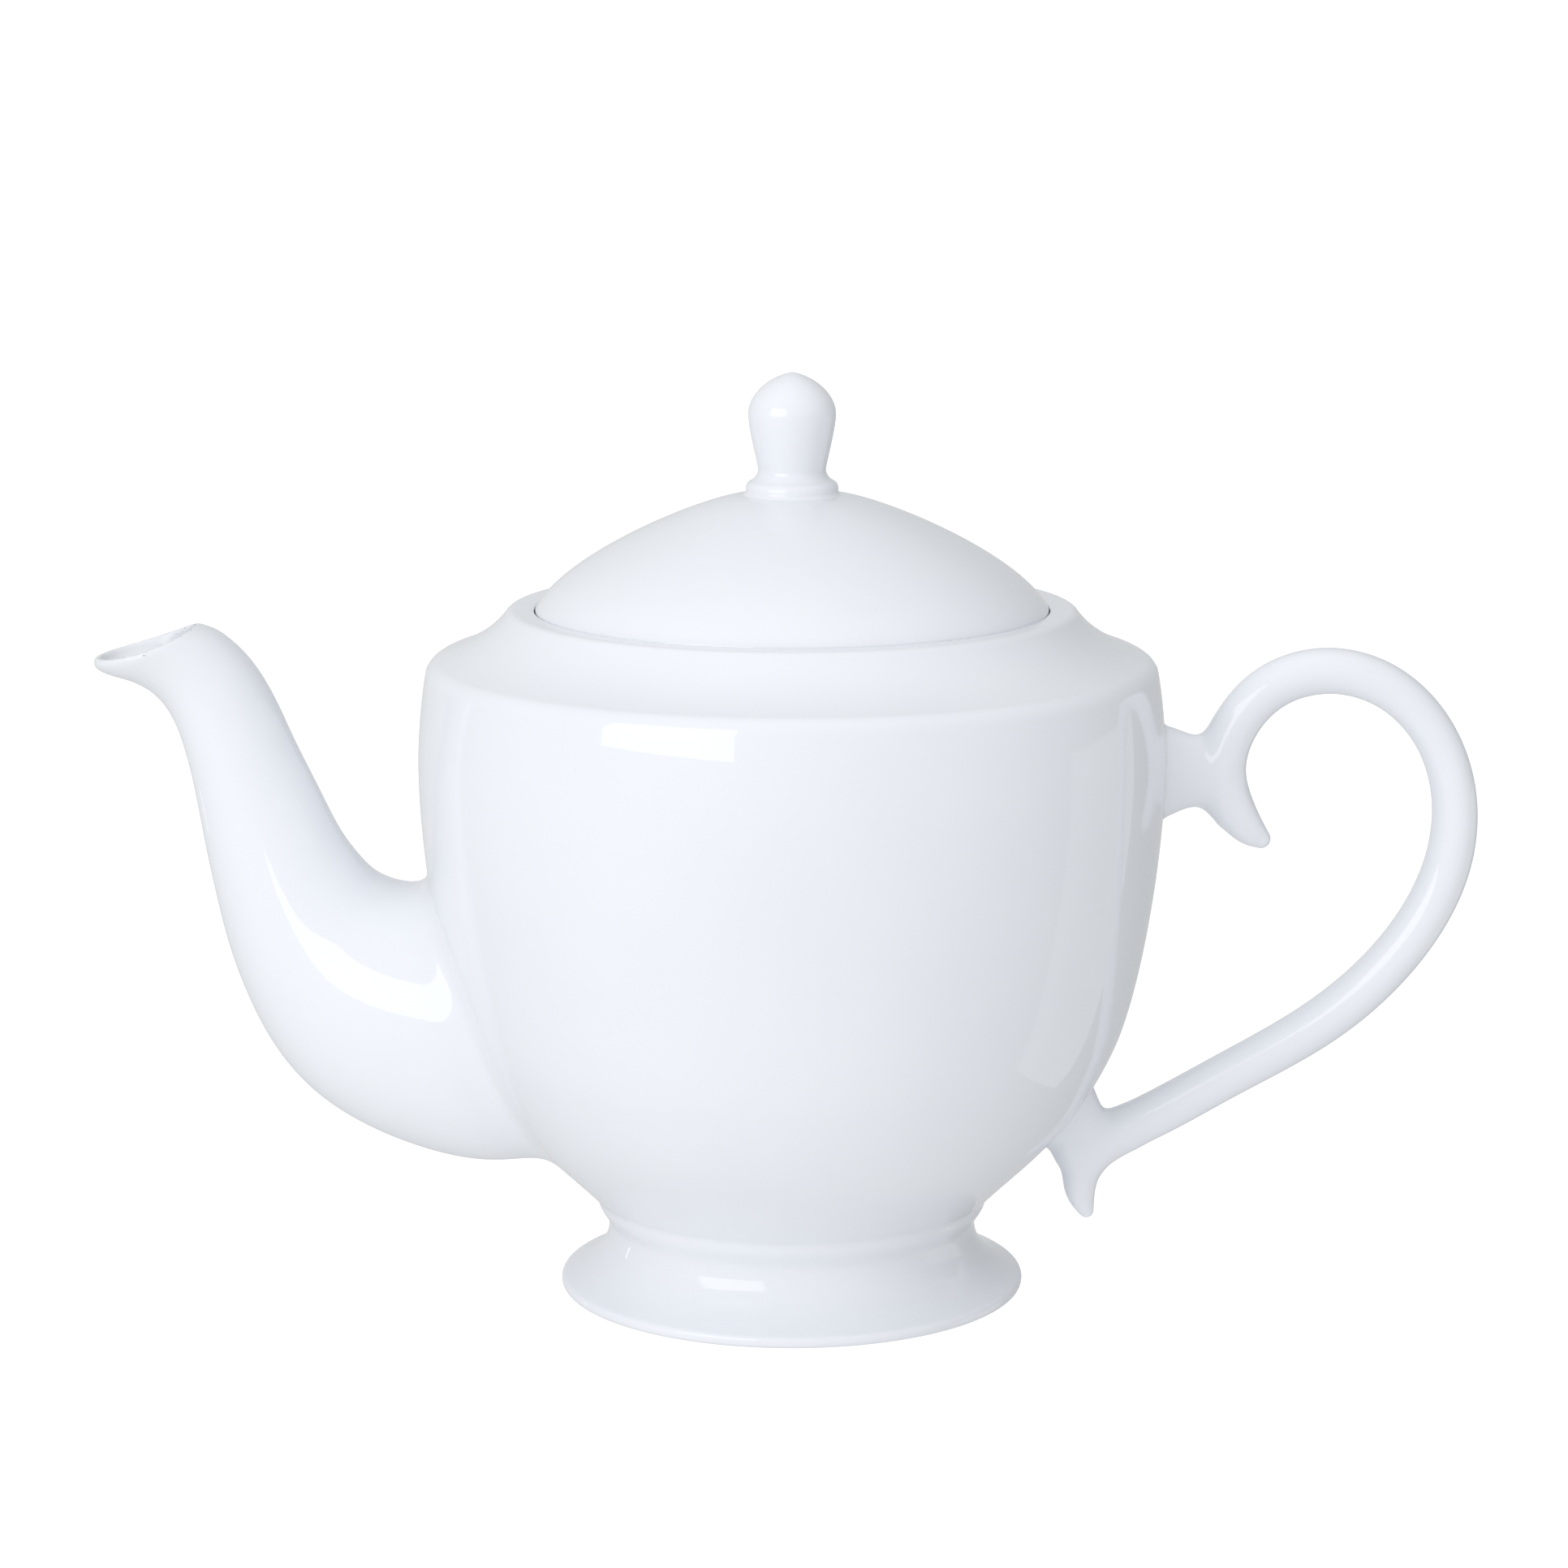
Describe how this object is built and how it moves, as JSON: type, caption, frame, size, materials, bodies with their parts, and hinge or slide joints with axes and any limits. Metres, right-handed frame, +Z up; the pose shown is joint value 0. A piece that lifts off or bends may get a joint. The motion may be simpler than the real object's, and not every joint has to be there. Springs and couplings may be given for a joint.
{
  "type": "teapot",
  "caption": "Footed white porcelain teapot with S-curved spout, scroll handle and domed lift-off lid seated inside a raised collar.",
  "frame": {"origin": "centre of the foot ring on the table, on the pot's axis of revolution", "axes": "+Z up along the pot's axis, +X towards the handle with the spout at -X, +Y away from the viewer who has the spout on the left"},
  "size_m": [0.2512, 0.1354, 0.1688],
  "materials": {
    "porcelain": "clear gloss glaze on cool white porcelain",
    "porcelain_lid": "clear gloss glaze on cool white porcelain"
  },
  "bodies": {
    "pot": {"pot_body": "porcelain", "pedestal_foot": "porcelain", "spout": "porcelain", "handle": "porcelain"},
    "lid": {"lid": "porcelain_lid", "lid_knob": "porcelain_lid", "lid_lug": "porcelain_lid"}
  },
  "joints": [
    {"name": "lid_lift", "type": "slide", "parent": "pot", "child": "lid", "axis": [0, 0, 1], "range_m": [0, 0.09]}
  ]
}
